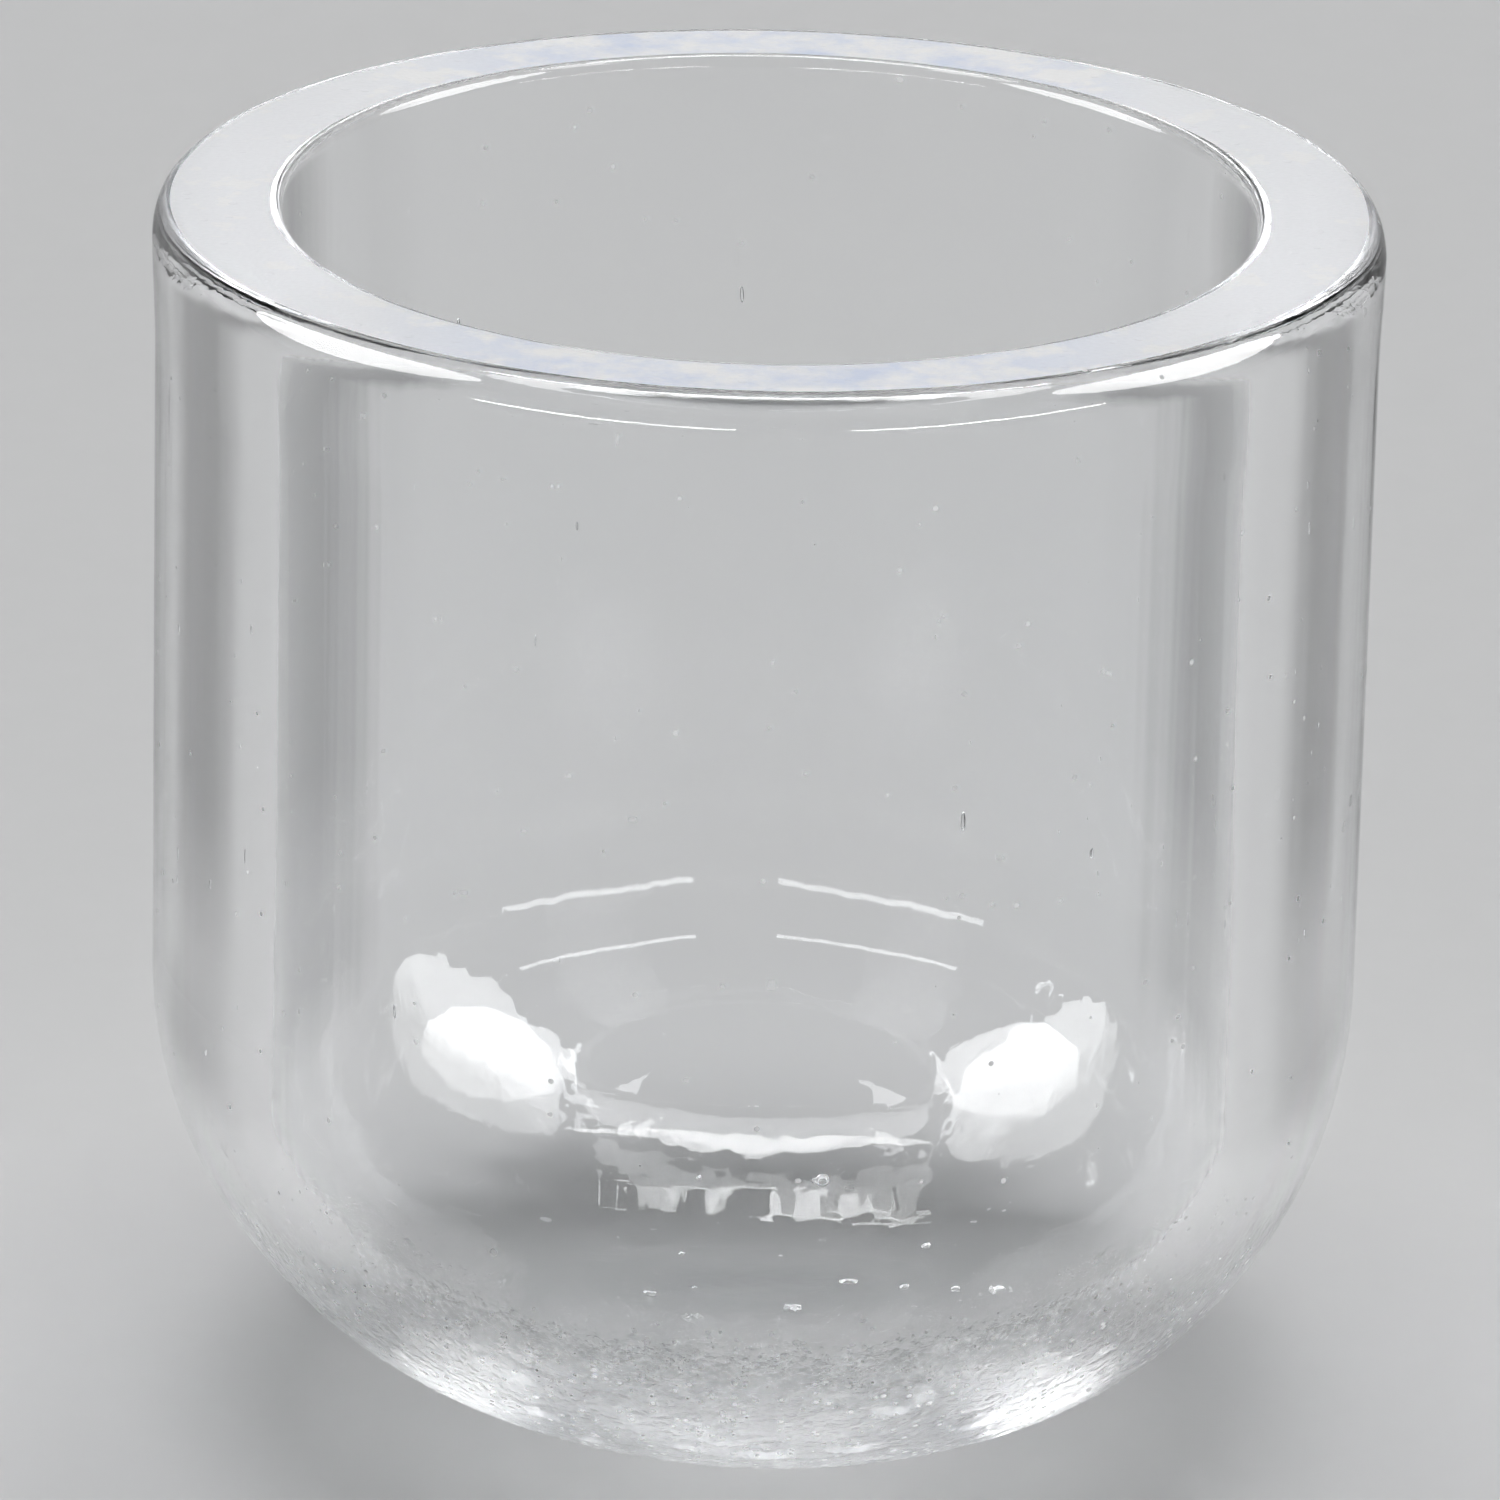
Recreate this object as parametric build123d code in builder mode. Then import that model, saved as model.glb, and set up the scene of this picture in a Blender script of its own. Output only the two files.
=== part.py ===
"""A small thick-walled glass dish: straight wall, ground rim and a rounded base with a small flat foot.

Millimetres. The dish stands on z = 0, its axis is Z and its mouth faces +Z.
"""

from math import asin, degrees
import os

from build123d import *

# Overall size
OUTER_DIA = 25.0
HEIGHT = 25.8
WALL = 2.6

# Outside of the base: flat foot, shallow dished ring, then the round shoulder up to the wall
FOOT_DIA = 5.0
BASE_DISH_RADIUS = 11.7
BASE_SHOULDER_RADIUS = 9.2

# Inside of the base: shallow dished floor, then a tighter shoulder up to the bore
FLOOR_THICKNESS = 1.9
FLOOR_DISH_RADIUS = 17.0
FLOOR_SHOULDER_RADIUS = 5.4

# Rim: the wall swells a little where the edge was flame polished, around a flat ground ring
RIM_SWELL = 0.05
RIM_SWELL_LENGTH = 2.2
OUTER_EDGE_RADIUS = 0.8
INNER_EDGE_RADIUS = 0.3

outer_radius = OUTER_DIA / 2 - RIM_SWELL
bore_radius = outer_radius - WALL
foot_radius = FOOT_DIA / 2


def dish_angle(flat_radius, wall_radius, dish_radius, shoulder_radius):
    """Angle in degrees where a shallow dished arc runs smoothly into the shoulder arc below a wall."""
    reach = wall_radius - flat_radius - shoulder_radius
    return degrees(asin(reach / (dish_radius - shoulder_radius)))


base_angle = dish_angle(foot_radius, outer_radius, BASE_DISH_RADIUS, BASE_SHOULDER_RADIUS)
floor_angle = dish_angle(0, bore_radius, FLOOR_DISH_RADIUS, FLOOR_SHOULDER_RADIUS)

with BuildPart() as glass_dish:
    with BuildSketch(Plane.XZ):
        with BuildLine():
            # Outside, from the axis out across the foot and up the wall
            foot = Line((0, 0), (foot_radius, 0))
            dish = JernArc(foot @ 1, (1, 0), BASE_DISH_RADIUS, base_angle)
            shoulder = JernArc(dish @ 1, dish % 1, BASE_SHOULDER_RADIUS, 90 - base_angle)
            wall = Line(shoulder @ 1, (outer_radius, HEIGHT - OUTER_EDGE_RADIUS - RIM_SWELL_LENGTH))
            swell = Spline(
                wall @ 1,
                (OUTER_DIA / 2, HEIGHT - OUTER_EDGE_RADIUS),
                tangents=[(0, 1), (0, 1)],
            )
            outer_edge = JernArc(swell @ 1, (0, 1), OUTER_EDGE_RADIUS, 90)
            # Inside, from the axis out across the floor and up the bore
            floor = JernArc((0, FLOOR_THICKNESS), (1, 0), FLOOR_DISH_RADIUS, floor_angle)
            cove = JernArc(floor @ 1, floor % 1, FLOOR_SHOULDER_RADIUS, 90 - floor_angle)
            bore = Line(cove @ 1, (bore_radius, HEIGHT - INNER_EDGE_RADIUS))
            inner_edge = JernArc(bore @ 1, (0, 1), INNER_EDGE_RADIUS, -90)
            rim = Line(outer_edge @ 1, inner_edge @ 1)
            axis_edge = Line((0, 0), (0, FLOOR_THICKNESS))
        make_face()
    revolve(axis=Axis.Z)

glass_dish.part.label = "glass_dish"

os.makedirs("parts", exist_ok=True)
export_step(glass_dish.part, "parts/glass_dish.step")
print("outer diameter", OUTER_DIA, "height", HEIGHT, "bore", round(2 * bore_radius, 3))
print("volume mm3", round(glass_dish.part.volume, 1))
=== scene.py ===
# %% [markdown]
# # A thick-walled glass dish
# This notebook dresses one small crystallizing dish: a straight wall of clear fused glass, a rim
# that was ground flat and then flame polished along both edges, and a rounded base with a small flat foot.
# The measured model gives the size and the place of the dish. Everything here only adds its looks.

# %% Load the measured model
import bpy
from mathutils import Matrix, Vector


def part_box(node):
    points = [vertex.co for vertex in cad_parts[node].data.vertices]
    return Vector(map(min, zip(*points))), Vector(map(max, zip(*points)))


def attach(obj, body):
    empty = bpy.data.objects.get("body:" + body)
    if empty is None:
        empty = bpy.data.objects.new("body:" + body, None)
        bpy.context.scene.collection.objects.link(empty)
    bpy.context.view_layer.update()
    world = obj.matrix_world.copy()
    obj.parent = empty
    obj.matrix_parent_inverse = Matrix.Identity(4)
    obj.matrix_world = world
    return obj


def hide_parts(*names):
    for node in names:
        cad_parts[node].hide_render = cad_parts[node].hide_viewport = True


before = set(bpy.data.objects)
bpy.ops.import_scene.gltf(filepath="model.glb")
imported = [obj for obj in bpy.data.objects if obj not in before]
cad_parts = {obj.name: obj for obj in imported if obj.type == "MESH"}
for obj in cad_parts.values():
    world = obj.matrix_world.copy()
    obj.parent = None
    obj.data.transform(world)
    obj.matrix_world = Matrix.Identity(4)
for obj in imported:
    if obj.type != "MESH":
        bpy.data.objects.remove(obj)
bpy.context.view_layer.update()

# %% Tools used by every cell
import math
import random

import bmesh
import bpy
from mathutils import Matrix, Vector, noise

MM = 0.001
dish_low, dish_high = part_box("glass_dish")
DISH_RADIUS = (dish_high[0] - dish_low[0]) / 2
DISH_HEIGHT = dish_high[2] - dish_low[2]
print("radius", round(DISH_RADIUS / MM, 2), "mm, height", round(DISH_HEIGHT / MM, 2), "mm")

# %% [markdown]
# ## The camera
# A small dish is best shown from a hand's length away with a long lens, so that the two sides of
# the wall look almost parallel. The camera looks down on the rim by about twenty degrees.
# It could be placed by trial, but an angle, a distance and an aim point say the same thing in four
# numbers that can be read, and the slight roll is what a hand-levelled tripod leaves.

# %% Place the camera
CAMERA_DISTANCE = 249 * MM
CAMERA_ELEVATION = math.radians(20.65)
CAMERA_ROLL = math.radians(1.3)
CAMERA_AIM = Vector((-0.16 * MM, 0, 13.96 * MM))
SENSOR_WIDTH = 36.0
LENS_PER_SENSOR = 8.065


def aim_camera(name, aim, distance, elevation, roll):
    """Puts a camera on the -Y side of the aim point, looking down at it."""
    outward = Vector((0, -math.cos(elevation), math.sin(elevation)))
    lens = bpy.data.cameras.new(name)
    lens.sensor_width = SENSOR_WIDTH
    lens.lens = SENSOR_WIDTH * LENS_PER_SENSOR
    lens.clip_start = 0.01
    camera = bpy.data.objects.new(name, lens)
    bpy.context.scene.collection.objects.link(camera)
    turn = (-outward).to_track_quat("-Z", "Y").to_matrix().to_4x4()
    camera.matrix_world = Matrix.Translation(aim + distance * outward) @ turn @ Matrix.Rotation(roll, 4, "Z")
    return camera


bpy.context.scene.camera = aim_camera("camera", CAMERA_AIM, CAMERA_DISTANCE, CAMERA_ELEVATION, CAMERA_ROLL)
print("lens", round(SENSOR_WIDTH * LENS_PER_SENSOR), "mm on a", SENSOR_WIDTH, "mm sensor")

# %% [markdown]
# ## How far a ray is followed
# A ray that enters the rim of a thick glass wall runs down inside it, as in a light pipe, and turns at
# every skin that it meets. If it is given up too early, the glass shows black patches that aren't
# there. So rays may turn many more times than they need to in a scene of opaque things.

# %% Ray depth and tones
GLASS_TURNS = 28

scene = bpy.context.scene
scene.cycles.max_bounces = GLASS_TURNS
scene.cycles.transmission_bounces = GLASS_TURNS
scene.cycles.glossy_bounces = GLASS_TURNS // 2
scene.view_settings.view_transform = "Standard"
print("a ray may turn", GLASS_TURNS, "times")

# %% [markdown]
# ## Floor and light
# Clear glass has no colour of its own: it is seen only by what it bends and mirrors. A pale matte
# floor gives it something plain to bend, and a dimmer room above the horizon gives its edges their
# dark lines. A wide soft box overhead whitens the ground rim. One oval box at each side is mirrored
# by the rounded floor as a bright flame. Narrow strips, one behind and two low in front, draw the
# thin bright arcs between and above the flames. Small bare lamps would be simpler, but glass would
# show them as hard dots and throw noisy patches of light on the floor.


# %% Node helpers
def new_material(name):
    """A node material with an empty Principled shader, returned with its tree and shader."""
    material = bpy.data.materials.new(name)
    material.use_nodes = True
    tree = material.node_tree
    return material, tree, tree.nodes["Principled BSDF"]


def add_node(tree, kind, values=None, **settings):
    """One node; values fills its sockets by name, settings are its own properties."""
    node = tree.nodes.new(kind)
    for key, value in settings.items():
        setattr(node, key, value)
    for key, value in (values or {}).items():
        node.inputs[key].default_value = value
    return node


def place_parts(tree, space="Object"):
    """The X, Y and Z of a place in the object's own metres, as sockets by name."""
    place = add_node(tree, "ShaderNodeTexCoord")
    parts = add_node(tree, "ShaderNodeSeparateXYZ")
    tree.links.new(place.outputs[space], parts.inputs["Vector"])
    return parts.outputs


def noise_field(tree, stretch, detail=3.0, roughness=0.5):
    """Noise over the object's own metres; stretch is how many features per metre along X, Y and Z."""
    place = add_node(tree, "ShaderNodeTexCoord")
    scale = add_node(tree, "ShaderNodeMapping", {"Scale": stretch})
    grain = add_node(tree, "ShaderNodeTexNoise", {"Scale": 1.0, "Detail": detail, "Roughness": roughness})
    tree.links.new(place.outputs["Object"], scale.inputs["Vector"])
    tree.links.new(scale.outputs["Vector"], grain.inputs["Vector"])
    return grain.outputs["Fac"]


def spread(tree, value, low, high, to_low, to_high):
    """Takes a value from low..high to to_low..to_high, and holds it there outside that range."""
    node = add_node(tree, "ShaderNodeMapRange", {
        "From Min": low, "From Max": high, "To Min": to_low, "To Max": to_high})
    tree.links.new(value, node.inputs["Value"])
    return node.outputs["Result"]


def blend_colours(tree, factor, first, second):
    """first where the factor is 0, second where it is 1."""
    ramp = add_node(tree, "ShaderNodeValToRGB")
    ramp.color_ramp.elements[0].color = (*first, 1)
    ramp.color_ramp.elements[1].color = (*second, 1)
    tree.links.new(factor, ramp.inputs["Fac"])
    return ramp.outputs["Color"]


def join_values(tree, operation, first, second):
    """A Math node on two values or numbers."""
    node = add_node(tree, "ShaderNodeMath", operation=operation)
    for socket, value in zip(node.inputs, (first, second)):
        if isinstance(value, (int, float)):
            socket.default_value = value
        else:
            tree.links.new(value, socket)
    return node.outputs["Value"]


def raise_surface(tree, height, distance, below=None):
    """A Bump node: height of 1 stands distance metres proud. below is a bump to lay this one over."""
    node = add_node(tree, "ShaderNodeBump", {"Strength": 1.0, "Distance": distance})
    tree.links.new(height, node.inputs["Height"])
    if below is not None:
        tree.links.new(below, node.inputs["Normal"])
    return node.outputs["Normal"]


# %% Floor
FLOOR_RADIUS = 1.6
FOOT_GAP = 0.02 * MM
FLOOR_RINGS = 24
FLOOR_SIDES = 96


def pale_floor():
    """Matte studio paper with a barely visible tooth."""
    material, tree, shader = new_material("studio_paper")
    tooth = noise_field(tree, (900, 900, 900))
    tone = blend_colours(tree, tooth, (0.52, 0.523, 0.526), (0.55, 0.553, 0.556))
    tree.links.new(tone, shader.inputs["Base Color"])
    tree.links.new(spread(tree, tooth, 0.3, 0.7, 0.75, 0.9), shader.inputs["Roughness"])
    return material


def disc_of_paper(name, radius):
    """A round sheet a hair below the foot, so that glass and paper never share a plane."""
    mesh = bpy.data.meshes.new(name)
    form = bmesh.new()
    centre = form.verts.new((0, 0, -FOOT_GAP))
    rings = []
    for step in range(1, FLOOR_RINGS + 1):
        reach = radius * (step / FLOOR_RINGS) ** 2
        turns = [2 * math.pi * side / FLOOR_SIDES for side in range(FLOOR_SIDES)]
        rings.append([form.verts.new((reach * math.cos(a), reach * math.sin(a), -FOOT_GAP)) for a in turns])
    for side in range(FLOOR_SIDES):
        after = (side + 1) % FLOOR_SIDES
        form.faces.new((centre, rings[0][side], rings[0][after]))
        for inner, outer in zip(rings, rings[1:]):
            form.faces.new((inner[side], outer[side], outer[after], inner[after]))
    form.to_mesh(mesh)
    form.free()
    sheet = bpy.data.objects.new(name, mesh)
    bpy.context.scene.collection.objects.link(sheet)
    return sheet


floor = disc_of_paper("floor", FLOOR_RADIUS)
floor.data.materials.append(pale_floor())
print("floor reaches", FLOOR_RADIUS, "m")

# %% Room
HORIZON_TONE = (0.42, 0.425, 0.43)
CEILING_TONE = (0.045, 0.046, 0.05)
HORIZON_TOP = 0.05
CEILING_BOTTOM = 0.38


def studio_room():
    """A world that is pale at the horizon, like the floor, and dark overhead."""
    world = bpy.data.worlds.new("room")
    world.use_nodes = True
    tree = world.node_tree
    rise = spread(tree, place_parts(tree, "Generated")["Z"], HORIZON_TOP, CEILING_BOTTOM, 0.0, 1.0)
    tone = blend_colours(tree, rise, HORIZON_TONE, CEILING_TONE)
    tree.links.new(tone, tree.nodes["Background"].inputs["Color"])
    return world


bpy.context.scene.world = studio_room()

# %% Soft boxes


def soft_box(name, azimuth, height, distance, size, power, shape="RECTANGLE", lights_floor=True):
    """A soft light that faces the middle of the dish; azimuth 0 is the camera's side."""
    turn = math.radians(azimuth)
    spot = Vector((math.sin(turn) * distance, -math.cos(turn) * distance, height))
    light = bpy.data.lights.new(name, "AREA")
    light.shape = shape
    light.size, light.size_y = size
    light.energy = power
    box = bpy.data.objects.new(name, light)
    bpy.context.scene.collection.objects.link(box)
    toward = Vector((0, 0, DISH_HEIGHT / 2)) - spot
    box.matrix_world = Matrix.Translation(spot) @ toward.to_track_quat("-Z", "Y").to_matrix().to_4x4()
    box.visible_camera = False
    box.visible_diffuse = lights_floor
    return box


soft_box("overhead_box", azimuth=180, height=0.60, distance=0.08, size=(0.50, 0.44), power=3.4,
         shape="ELLIPSE")
for name, azimuth in (("left_box", -97), ("right_box", 97)):
    soft_box(name, azimuth, height=0.275, distance=0.32, size=(0.26, 0.34), power=2.3, shape="ELLIPSE",
             lights_floor=False)
soft_box("back_strip", azimuth=180, height=0.42, distance=0.21, size=(0.26, 0.03), power=0.5, shape="ELLIPSE",
         lights_floor=False)
for name, azimuth in (("front_left_strip", -30), ("front_right_strip", 40)):
    soft_box(name, azimuth, height=0.17, distance=0.50, size=(0.46, 0.014), power=1.0, lights_floor=False)

# %% [markdown]
# ## Dark flags
# To show clear glass, a studio stands black cards just outside the frame. The wall bends them in,
# and they draw the dark lines by which its edges are seen. A black backdrop would do more, and would
# swallow the rest of the dish. The cards here are gauze that thins out along its borders, because a
# hard border would show in the glass. They are met only by rays that the glass bends or mirrors.

# %% Flags
FLAG_REACH = 24 * MM
FLAG_HEIGHT = 46 * MM
FLAG_COLUMNS = 12
FLAG_START = 34
FLAG_END = 68
FLAG_FEATHER = 11
FLAG_HEM = 7 * MM
FLAG_DEPTH = 0.58


def keep_unseen(card):
    """Leaves a card to be met only by what the glass bends or mirrors."""
    bpy.context.scene.collection.objects.link(card)
    card.visible_camera = False
    card.visible_shadow = False
    card.visible_diffuse = False
    return card


def black_card():
    """Plain matte black card with a faint nap."""
    material, tree, shader = new_material("black_card")
    nap = noise_field(tree, (300, 300, 300))
    tone = blend_colours(tree, nap, (0.02, 0.02, 0.022), (0.04, 0.04, 0.042))
    tree.links.new(tone, shader.inputs["Base Color"])
    shader.inputs["Roughness"].default_value = 0.95
    return material


def flag_cloth():
    """Dark gauze that thins out to nothing along its borders, so that it leaves no hard line in the glass."""
    material, tree, shader = new_material("dark_gauze")
    nap = noise_field(tree, (4000, 4000, 4000))
    tone = blend_colours(tree, nap, (0.012, 0.012, 0.013), (0.03, 0.03, 0.032))
    tree.links.new(tone, shader.inputs["Base Color"])
    shader.inputs["Roughness"].default_value = 0.95
    here = place_parts(tree)
    beside = join_values(tree, "ABSOLUTE", here["X"], 0.0)
    turn = join_values(tree, "ARCTAN2", beside, here["Y"])
    start, end, feather = (math.radians(angle) for angle in (FLAG_START, FLAG_END, FLAG_FEATHER))
    fades = [spread(tree, turn, start, start + feather, 0.0, FLAG_DEPTH),
             spread(tree, turn, end - feather, end, 1.0, 0.0),
             spread(tree, here["Z"], 0.0, FLAG_HEM, 0.0, 1.0),
             spread(tree, here["Z"], FLAG_HEIGHT - 2 * FLAG_HEM, FLAG_HEIGHT, 1.0, 0.0)]
    cover = fades[0]
    for fade in fades[1:]:
        cover = join_values(tree, "MULTIPLY", cover, fade)
    tree.links.new(cover, shader.inputs["Alpha"])
    return material


def dark_flag(name, start, end, cloth):
    """A card on edge, bent round the dish from one azimuth to the other; 0 is straight behind it."""
    form = bmesh.new()
    columns = []
    for step in range(FLAG_COLUMNS + 1):
        turn = math.radians(start + (end - start) * step / FLAG_COLUMNS)
        foot = Vector((FLAG_REACH * math.sin(turn), FLAG_REACH * math.cos(turn), 0.2 * MM))
        columns.append((form.verts.new(foot), form.verts.new(foot + Vector((0, 0, FLAG_HEIGHT)))))
    for left, right in zip(columns, columns[1:]):
        form.faces.new((left[0], right[0], right[1], left[1]))
    mesh = bpy.data.meshes.new(name)
    form.to_mesh(mesh)
    form.free()
    flag = bpy.data.objects.new(name, mesh)
    mesh.materials.append(cloth)
    return keep_unseen(flag)


cloth = flag_cloth()
dark_flag("flag_left", -FLAG_END, -FLAG_START, cloth)
dark_flag("flag_right", FLAG_START, FLAG_END, cloth)
print("flags stand", round(FLAG_REACH / MM), "mm from the axis")

# %% [markdown]
# ## A dark port over the dish
# The rounded floor mirrors the whole overhead box as one plain white patch. A round black card in
# front of the box, like the port that a camera looks through, leaves a dark lens inside that patch.

# %% The dark port
PORT_HEIGHT = 300 * MM
PORT_REACH = 92 * MM
PORT_SIDES = 48


def dark_port(name, radius, height, cloth):
    """A round card that the bowl mirrors as a dark lens in the image of the overhead box."""
    form = bmesh.new()
    turns = [2 * math.pi * side / PORT_SIDES for side in range(PORT_SIDES)]
    edge = [form.verts.new((radius * math.cos(a), radius * math.sin(a), height)) for a in turns]
    form.faces.new(edge)
    mesh = bpy.data.meshes.new(name)
    form.to_mesh(mesh)
    form.free()
    port = bpy.data.objects.new(name, mesh)
    mesh.materials.append(cloth)
    return keep_unseen(port)


dark_port("overhead_port", PORT_REACH, PORT_HEIGHT, black_card())
print("port", round(2 * PORT_REACH / MM), "mm across,", round(PORT_HEIGHT / MM), "mm up")

# %% [markdown]
# ## The outline of the glass
# The dish is turned about one axis, like work on a glass lathe, so half of its section is enough to
# describe it. A Screw modifier on a curve would spin it too, but then every ring would be a perfect
# circle. Here the section is a list of points, each with the name of the stretch it lies on, and a
# later cell places each point around the dish, so that it can be nudged as real hot glass is.

# %% Sizes of the section
WALL = 2.6 * MM
RIM_SWELL = 0.05 * MM
RIM_SWELL_LENGTH = 2.2 * MM
OUTER_EDGE = 0.8 * MM
INNER_EDGE = 0.3 * MM
FOOT_RADIUS = 2.5 * MM
BASE_DISH_RADIUS = 11.7 * MM
BASE_SHOULDER_RADIUS = 9.2 * MM
FLOOR_THICKNESS = 1.9 * MM
FLOOR_DISH_RADIUS = 17.0 * MM
FLOOR_SHOULDER_RADIUS = 5.4 * MM

WALL_RADIUS = DISH_RADIUS - RIM_SWELL
BORE_RADIUS = WALL_RADIUS - WALL


def bowl_points(flat, side, dish, shoulder, bottom, dish_steps, shoulder_steps):
    """(r, z) along a bowl: a shallow arc that starts at radius flat, then a tighter arc up to radius side."""
    lean = math.asin((side - flat - shoulder) / (dish - shoulder))
    points = []
    for step in range(1, dish_steps + 1):
        turn = lean * step / dish_steps
        points.append((flat + dish * math.sin(turn), bottom + dish * (1 - math.cos(turn))))
    centre_r = flat + (dish - shoulder) * math.sin(lean)
    centre_z = bottom + dish - (dish - shoulder) * math.cos(lean)
    for step in range(1, shoulder_steps + 1):
        turn = lean + (math.pi / 2 - lean) * step / shoulder_steps
        points.append((centre_r + shoulder * math.sin(turn), centre_z - shoulder * math.cos(turn)))
    return points


def straight_points(start, end, steps):
    """Points after start, up to and with end."""
    return [(start[0] + (end[0] - start[0]) * k / steps, start[1] + (end[1] - start[1]) * k / steps)
            for k in range(1, steps + 1)]


# %% Section of the dish, from the middle of the foot round to the middle of the floor
def dish_section():
    """A list of (stretch, r, z). The rim's two rounded edges are left to the cell that turns the section."""
    foot = straight_points((0, 0), (FOOT_RADIUS, 0), 10)
    base = bowl_points(FOOT_RADIUS, WALL_RADIUS, BASE_DISH_RADIUS, BASE_SHOULDER_RADIUS, 0, 16, 108)
    swell_start = DISH_HEIGHT - OUTER_EDGE - RIM_SWELL_LENGTH
    wall = straight_points(base[-1], (WALL_RADIUS, swell_start), 15)
    swell = [(WALL_RADIUS + RIM_SWELL * (1 - math.cos(math.pi * k / 8)) / 2,
              swell_start + RIM_SWELL_LENGTH * k / 8)
             for k in range(1, 9)]
    outer_edge = [(k / 12, 0) for k in range(1, 13)]
    land = [(k / 5, 0) for k in range(1, 5)]
    inner_edge = [(k / 8, 0) for k in range(0, 9)]
    floor_rise = bowl_points(0, BORE_RADIUS, FLOOR_DISH_RADIUS, FLOOR_SHOULDER_RADIUS, FLOOR_THICKNESS, 16, 30)
    bore = straight_points((BORE_RADIUS, DISH_HEIGHT - INNER_EDGE), floor_rise[-1], 16)
    stretches = [("foot", foot), ("base", base), ("wall", wall), ("swell", swell),
                 ("outer_edge", outer_edge), ("land", land), ("inner_edge", inner_edge),
                 ("bore", bore), ("floor", floor_rise[-2::-1])]
    return [(name, r, z) for name, points in stretches for r, z in points]


section = dish_section()
print("section of", len(section), "points")

# %% [markdown]
# ## What the flame and the wheel leave behind
# Drawn glass is never quite round: the wall breathes by a few hundredths of a millimetre, and the
# bent rays make that visible as slow ripples. The base was closed by hand, so it leans by a degree
# or two, and its skin is pebbled around the smooth foot. The wheel that ground the rim left a flat
# whose two borders wander, because the flame then pulled them in by different amounts.
# A bump map could hint at the ripples, but it can't bend the outline, so these are true shapes.

# %% Nudges
BASE_LEAN = math.tan(math.radians(1.6))
LEAN_TOP = 9.3 * MM
PEBBLE_TOP = 2.4 * MM
PEBBLE_FADE = 2.0 * MM
PEBBLE_REACH = 6.0 * MM
PEBBLE_SIZES = (0.95 * MM, 0.34 * MM)
PEBBLE_DEPTHS = (0.010 * MM, 0.012 * MM)


def ripple(turn, height, depth, seed):
    """A slow wander around the dish, between -depth and depth, that drifts a little with height."""
    x, y = math.cos(turn), math.sin(turn)
    drift = height / (22 * MM)
    slow = noise.noise(Vector((x * 1.3 + seed, y * 1.3, drift * 0.7)))
    quick = noise.noise(Vector((x * 4.5, y * 4.5 + seed, drift * 0.5)))
    return depth * (0.75 * slow + 0.25 * quick)


def base_lean(x, z):
    """How far the hand-closed base drops at a place, fading out where the straight wall begins."""
    fade = max(0.0, 1 - z / LEAN_TOP)
    return -BASE_LEAN * x * fade


def pebbles(place):
    """Depth of the pebbled skin around the base, fading out on the smooth foot and up the wall."""
    off_foot = min(1.0, math.hypot(place.x, place.y) / PEBBLE_REACH) ** 5
    fade = min(1.0, max(0.0, (PEBBLE_TOP - place.z) / PEBBLE_FADE)) * off_foot
    coarse = noise.noise(place / PEBBLE_SIZES[0]) * 0.5 + 0.5
    fine = noise.noise(place / PEBBLE_SIZES[1] + Vector((7.3, 1.1, 4.2))) * 0.5 + 0.5
    return fade * (PEBBLE_DEPTHS[0] * coarse + PEBBLE_DEPTHS[1] * fine)


# %% Open marks in the skin of the base
MARK_COUNT = 64
MARK_TOP = 6.8 * MM
# azimuth from the front, lean up the shoulder, both in degrees, and radius in millimetres
LARGE_MARKS = ((-14, 52, 0.42), (17, 55, 0.62), (14, 42, 0.50), (3, 40, 0.55), (-2, 44, 0.30),
               (9, 58, 0.34), (29, 46, 0.46), (-24, 55, 0.34))
SHOULDER_CENTRE_R = WALL_RADIUS - BASE_SHOULDER_RADIUS
SHOULDER_CENTRE_Z = BASE_DISH_RADIUS - math.sqrt(
    (BASE_DISH_RADIUS - BASE_SHOULDER_RADIUS) ** 2 - (SHOULDER_CENTRE_R - FOOT_RADIUS) ** 2)


def on_shoulder(azimuth, lean):
    """The place on the rounded base at an azimuth, lean degrees up its arc from the foot."""
    turn, rise = math.radians(azimuth), math.radians(lean)
    reach = SHOULDER_CENTRE_R + BASE_SHOULDER_RADIUS * math.sin(rise)
    return Vector((reach * math.sin(turn), -reach * math.cos(turn),
                   SHOULDER_CENTRE_Z - BASE_SHOULDER_RADIUS * math.cos(rise)))


def scatter_marks(seed):
    """Open blisters in the skin of the base: (centre, radius, depth), drawn by seed, then the large ones."""
    draw = random.Random(seed)
    marks = []
    for _ in range(MARK_COUNT):
        centre = on_shoulder(draw.triangular(-150, 150, 0), draw.triangular(3, 68, 42))
        radius = draw.triangular(0.12, 0.36, 0.15) * MM
        marks.append((centre, radius, radius * draw.uniform(0.12, 0.24)))
    for azimuth, lean, radius in LARGE_MARKS:
        marks.append((on_shoulder(azimuth, lean), radius * MM, radius * 0.16 * MM))
    return marks


marks = scatter_marks(11)


def mark_depth(place):
    """Depth of any open pit at a place: a smooth dimple with a crisp border."""
    depth = 0.0
    for centre, radius, deepest in marks:
        away = (place - centre).length / radius
        if away < 1:
            depth = max(depth, deepest * (1 - away ** 6) * (0.55 + 0.45 * away))
    return depth


print("marks:", len(marks))

# %% Turn the section into a dish
SIDES = 384
FOOT_SOFTNESS = 0.08 * MM
BORE_RIPPLE = 0.075 * MM
WALL_RIPPLE = 0.022 * MM
RIM_CALM = 3 * MM
FLOOR_SHARE_OF_LEAN = 0.6


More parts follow.
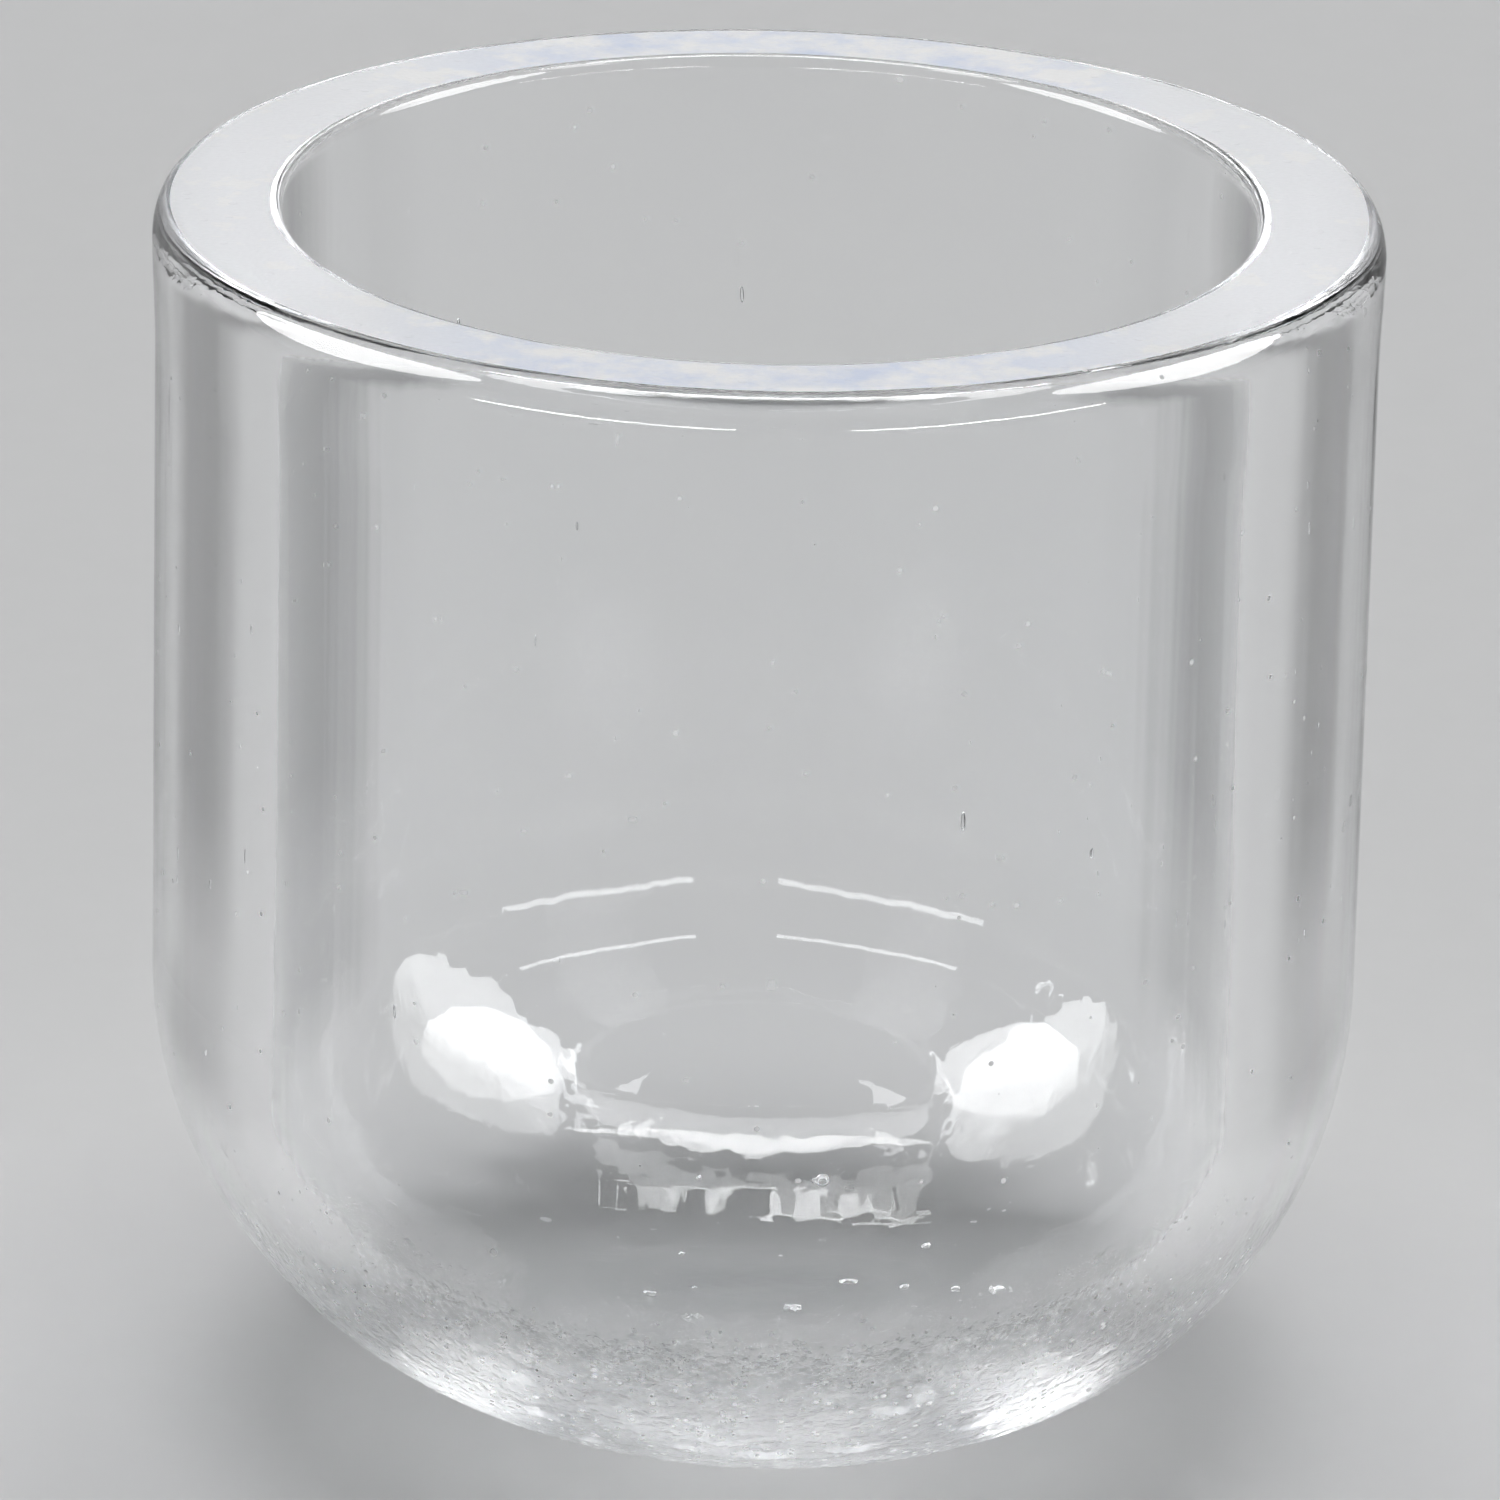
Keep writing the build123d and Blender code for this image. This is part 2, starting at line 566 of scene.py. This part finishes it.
def rim_point(stretch, step, turn):
    """(r, z) on the rim, where the ground flat's borders wander with the turn."""
    wide = 0.5 + 0.5 * math.sin(turn) ** 2
    outer_round = OUTER_EDGE * wide + ripple(turn, 0, 0.12 * MM, 3.1)
    inner_round = INNER_EDGE + 0.5 * ripple(turn, 0, 0.16 * MM, 5.7)
    if stretch == "outer_edge":
        bend = step * math.pi / 2
        return (DISH_RADIUS - outer_round * (1 - math.cos(bend)),
                DISH_HEIGHT - OUTER_EDGE * (1 - math.sin(bend)))
    if stretch == "land":
        start, end = DISH_RADIUS - outer_round, BORE_RADIUS + inner_round
        return start + (end - start) * step, DISH_HEIGHT
    bend = step * math.pi / 2
    return (BORE_RADIUS + inner_round * (1 - math.sin(bend)),
            DISH_HEIGHT - INNER_EDGE * (1 - math.cos(bend)))


def stand_on_floor(z):
    """Keeps a height above the floor; the softened corner leaves no crease around the flattened foot."""
    return (z + math.hypot(z, FOOT_SOFTNESS)) / 2


def glass_point(stretch, r, z, turn):
    """Where one point of the section lies at one turn around the dish."""
    if stretch in ("outer_edge", "land", "inner_edge"):
        r, z = rim_point(stretch, r, turn)
        return Vector((r * math.cos(turn), r * math.sin(turn), z))
    near_rim = min(1.0, (DISH_HEIGHT - z) / RIM_CALM)
    if stretch in ("bore", "floor"):
        r += near_rim * ripple(turn, z, BORE_RIPPLE, 1.7) * (r / BORE_RADIUS)
        place = Vector((r * math.cos(turn), r * math.sin(turn), z))
        place.z += base_lean(place.x, place.z) * FLOOR_SHARE_OF_LEAN
        return place
    squeeze = near_rim * (ripple(turn, z, WALL_RIPPLE, 6.3) + WALL_RIPPLE)
    r -= squeeze * (r / WALL_RADIUS)
    place = Vector((r * math.cos(turn), r * math.sin(turn), z))
    if z < MARK_TOP:
        inward = Vector((-place.x, -place.y, LEAN_TOP - z)).normalized()
        place += inward * (pebbles(place) + mark_depth(place))
    place.z = stand_on_floor(place.z + base_lean(place.x, z))
    return place


def turn_section(form, points):
    """Adds the turned dish to a bmesh and returns the faces of the ground land."""
    turns = [2 * math.pi * side / SIDES for side in range(SIDES)]
    foot_middle = form.verts.new((0, 0, stand_on_floor(0)))
    rings = [[form.verts.new(glass_point(name, r, z, turn)) for turn in turns] for name, r, z in points]
    floor_middle = form.verts.new((0, 0, FLOOR_THICKNESS))
    land_faces = []
    for side in range(SIDES):
        after = (side + 1) % SIDES
        form.faces.new((foot_middle, rings[0][after], rings[0][side]))
        form.faces.new((floor_middle, rings[-1][side], rings[-1][after]))
        for index in range(len(rings) - 1):
            low, high = rings[index], rings[index + 1]
            face = form.faces.new((low[side], low[after], high[after], high[side]))
            start, end = points[index][0], points[index + 1][0]
            if end == "land" or (start, end) == ("land", "inner_edge"):
                land_faces.append(face)
    return land_faces


dish_form = bmesh.new()
land_faces = turn_section(dish_form, section)
for face in dish_form.faces:
    face.smooth = True
for face in land_faces:
    face.material_index = 1
print("dish:", len(dish_form.verts), "points,", len(dish_form.faces), "faces")

# %% [markdown]
# ## Seeds
# A seed is a small bubble that was caught when the glass was melted. It isn't a thing in the glass
# but a place where glass is missing, so its skin belongs to the dish's own mesh and faces into the
# bubble. A separate white ball would be easier and would look like a bead stuck on the dish.
# In the drawn wall the seeds were pulled long, and in the base they stayed nearly round.

# %% Bubbles in the glass
SEED_FACETS = 2
SEEDS_IN_BASE = 15
SEEDS_IN_WALL = 16


def add_seed(form, centre, size, tilt):
    """One closed bubble, its skin turned to face its own inside."""
    shape = Matrix.Translation(centre) @ Matrix.Rotation(tilt, 4, "Y") @ Matrix.Diagonal((*size, 1))
    made = bmesh.ops.create_icosphere(form, subdivisions=SEED_FACETS, radius=1.0, matrix=shape)
    skin = {face for vert in made["verts"] for face in vert.link_faces}
    for vert in made["verts"]:
        away = vert.co - centre
        vert.co = centre + away * (1 + 0.10 * noise.noise(vert.co / (0.2 * MM)))
    bmesh.ops.reverse_faces(form, faces=list(skin))
    for face in skin:
        face.smooth = True


def seeds_in_base(form, seed):
    """Round bubbles in the glass under the floor."""
    draw = random.Random(seed)
    for _ in range(SEEDS_IN_BASE):
        turn = draw.uniform(0, 2 * math.pi)
        reach = draw.uniform(0.8, 6.4) * MM
        height = draw.uniform(0.7, 1.3) * MM + (reach / (9 * MM)) ** 2 * 1.8 * MM
        radius = draw.triangular(0.06, 0.24, 0.10) * MM
        centre = Vector((reach * math.cos(turn), reach * math.sin(turn), height))
        size = (radius, radius * draw.uniform(0.8, 1.2), radius * 0.75)
        add_seed(form, centre, size, draw.uniform(-0.4, 0.4))


def seeds_in_wall(form, seed):
    """Thin bubbles, drawn long with the tube."""
    draw = random.Random(seed)
    for _ in range(SEEDS_IN_WALL):
        turn = draw.uniform(0, 2 * math.pi)
        reach = BORE_RADIUS + draw.uniform(0.25, 0.75) * WALL
        height = draw.uniform(9.0, 23.5) * MM
        radius = draw.uniform(0.025, 0.05) * MM
        centre = Vector((reach * math.cos(turn), reach * math.sin(turn), height))
        size = (radius, radius, radius * draw.uniform(2.0, 5.0))
        add_seed(form, centre, size, draw.uniform(-0.08, 0.08))


seeds_in_base(dish_form, 5)
seeds_in_wall(dish_form, 23)
print("seeds:", SEEDS_IN_BASE, "in the base,", SEEDS_IN_WALL, "in the wall")

# %% Make the dish an object
dish_mesh = bpy.data.meshes.new("glass_dish_blown")
dish_form.to_mesh(dish_mesh)
dish_form.free()
glass_dish = bpy.data.objects.new("glass_dish_blown", dish_mesh)
bpy.context.scene.collection.objects.link(glass_dish)
print("triangles:", sum(len(face.vertices) - 2 for face in dish_mesh.polygons))

# %% [markdown]
# ## Clear fused glass
# The body of the dish is all but colourless, with a trace of green-blue in the longest paths.
# Its skin isn't featureless: the drawing left faint upright lines, handling left a soft haze, and
# fine dust and rub marks sit on it as tiny matt specks. Bump gives the lines and roughness gives the
# haze and the specks. The tint could be a volume that takes away a little light for each millimetre.
# In fused glass this thin it would hardly show, so the skin carries it: a ray that meets the skin
# many times is tinted many times, which comes to much the same.

# %% Clear glass
FUSED_GLASS_IOR = 1.46


def dust_specks(tree, cells_per_metre, reach, share):
    """1 on small round specks, 0 elsewhere. share is the part of the cells that holds a speck."""
    place = add_node(tree, "ShaderNodeTexCoord")
    cells = add_node(tree, "ShaderNodeTexVoronoi", {"Scale": cells_per_metre, "Randomness": 1.0})
    tree.links.new(place.outputs["Object"], cells.inputs["Vector"])
    lots = add_node(tree, "ShaderNodeSeparateColor")
    tree.links.new(cells.outputs["Color"], lots.inputs["Color"])
    chosen = join_values(tree, "LESS_THAN", lots.outputs["Red"], share)
    near = spread(tree, cells.outputs["Distance"], reach * 0.6, reach, 1.0, 0.0)
    return join_values(tree, "MULTIPLY", chosen, near)


def low_on_dish(tree, full, none):
    """1 below the height full, 0 above the height none, both in metres."""
    return spread(tree, place_parts(tree)["Z"], full, none, 1.0, 0.0)


def near_front(tree, full, none):
    """1 where Y is under full, 0 where it is over none, both in metres."""
    return spread(tree, place_parts(tree)["Y"], full, none, 1.0, 0.0)


def clear_glass():
    """Fused glass with draw lines, a soft haze, specks and a pebbled base."""
    material, tree, shader = new_material("clear_fused_glass")
    shader.inputs["Transmission Weight"].default_value = 1.0
    shader.inputs["IOR"].default_value = FUSED_GLASS_IOR
    cloud = noise_field(tree, (160, 160, 90), detail=4.0)
    tone = blend_colours(tree, cloud, (0.965, 0.975, 0.98), (1.0, 1.0, 1.0))
    tree.links.new(tone, shader.inputs["Base Color"])

    haze = spread(tree, cloud, 0.45, 0.75, 0.0, 0.035)
    fine_dust = dust_specks(tree, 1300, 0.085, 0.32)
    coarse_dust = dust_specks(tree, 420, 0.06, 0.24)
    specks = join_values(tree, "MAXIMUM", fine_dust, coarse_dust)
    low = low_on_dish(tree, 4.6 * MM, 6.4 * MM)
    base = join_values(tree, "MULTIPLY", low, near_front(tree, -6 * MM, 1 * MM))
    grit = join_values(tree, "MULTIPLY", dust_specks(tree, 4300, 0.34, 0.42), base)
    worn = join_values(tree, "MULTIPLY", low_on_dish(tree, 0.02 * MM, 0.4 * MM), 0.12)
    spots = join_values(tree, "MULTIPLY", join_values(tree, "MAXIMUM", specks, grit), 0.8)
    matt = join_values(tree, "MAXIMUM", spots, join_values(tree, "ADD", haze, worn))
    tree.links.new(matt, shader.inputs["Roughness"])

    draw_lines = noise_field(tree, (1300, 1300, 26), detail=2.0)
    skin = raise_surface(tree, draw_lines, 0.000008)
    tooth = join_values(tree, "MULTIPLY", noise_field(tree, (5200, 5200, 5200), detail=3.0), base)
    tree.links.new(raise_surface(tree, tooth, 0.00003, below=skin), shader.inputs["Normal"])
    return material


# %% [markdown]
# ## The ground rim
# The flat on top of the rim was cut on a wheel with wet grit and left as it came off: a white, matt
# surface. Its grain is fine and even, with some larger picks. It is modelled as a part-clear shader:
# less than half of the light passes in, blurred, and the rest is scattered back white. Plain white
# paint would lose that depth. Its colour also holds painted shade: a blue tone, laid in mottles, that
# stands for light that goes down into the glass and doesn't come back. The painted blue is kept to the
# front and the back, where the flat is seen most nearly edge on.

# %% Ground glass
def ground_glass():
    """The wheel-cut flat on top of the rim."""
    material, tree, shader = new_material("ground_rim_glass")
    shader.inputs["Transmission Weight"].default_value = 0.4
    shader.inputs["IOR"].default_value = FUSED_GLASS_IOR
    painted_shade_mottle = noise_field(tree, (700, 700, 700), detail=5.0, roughness=0.65)
    # painted shade: the blue is laid in mottles and held back towards the sides, so it stays mostly on the
    # front and the back
    aside = join_values(tree, "ABSOLUTE", place_parts(tree)["X"], 0.0)
    beside = spread(tree, aside, 3 * MM, 8 * MM, 0.0, 0.85)
    white_over_painted_shade = join_values(tree, "MAXIMUM", spread(tree, painted_shade_mottle, 0.34, 0.6, 0.0, 1.0), beside)
    # the blue end of this blend is painted shade, for light that goes into the glass and doesn't come back
    tone = blend_colours(tree, white_over_painted_shade, (0.72, 0.79, 0.96), (1.0, 1.0, 1.0))
    tree.links.new(tone, shader.inputs["Base Color"])
    grit = noise_field(tree, (9000, 9000, 9000), detail=2.0)
    tree.links.new(spread(tree, grit, 0.3, 0.7, 0.5, 0.75), shader.inputs["Roughness"])
    grain = raise_surface(tree, grit, 0.000012)
    picks = dust_specks(tree, 2100, 0.22, 0.35)
    sunk = join_values(tree, "SUBTRACT", 1.0, picks)
    tree.links.new(raise_surface(tree, sunk, 0.00001, below=grain), shader.inputs["Normal"])
    return material


glass_dish.data.materials.append(clear_glass())
glass_dish.data.materials.append(ground_glass())

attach(glass_dish, "root")
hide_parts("glass_dish")
print("materials:", [m.name for m in glass_dish.data.materials])
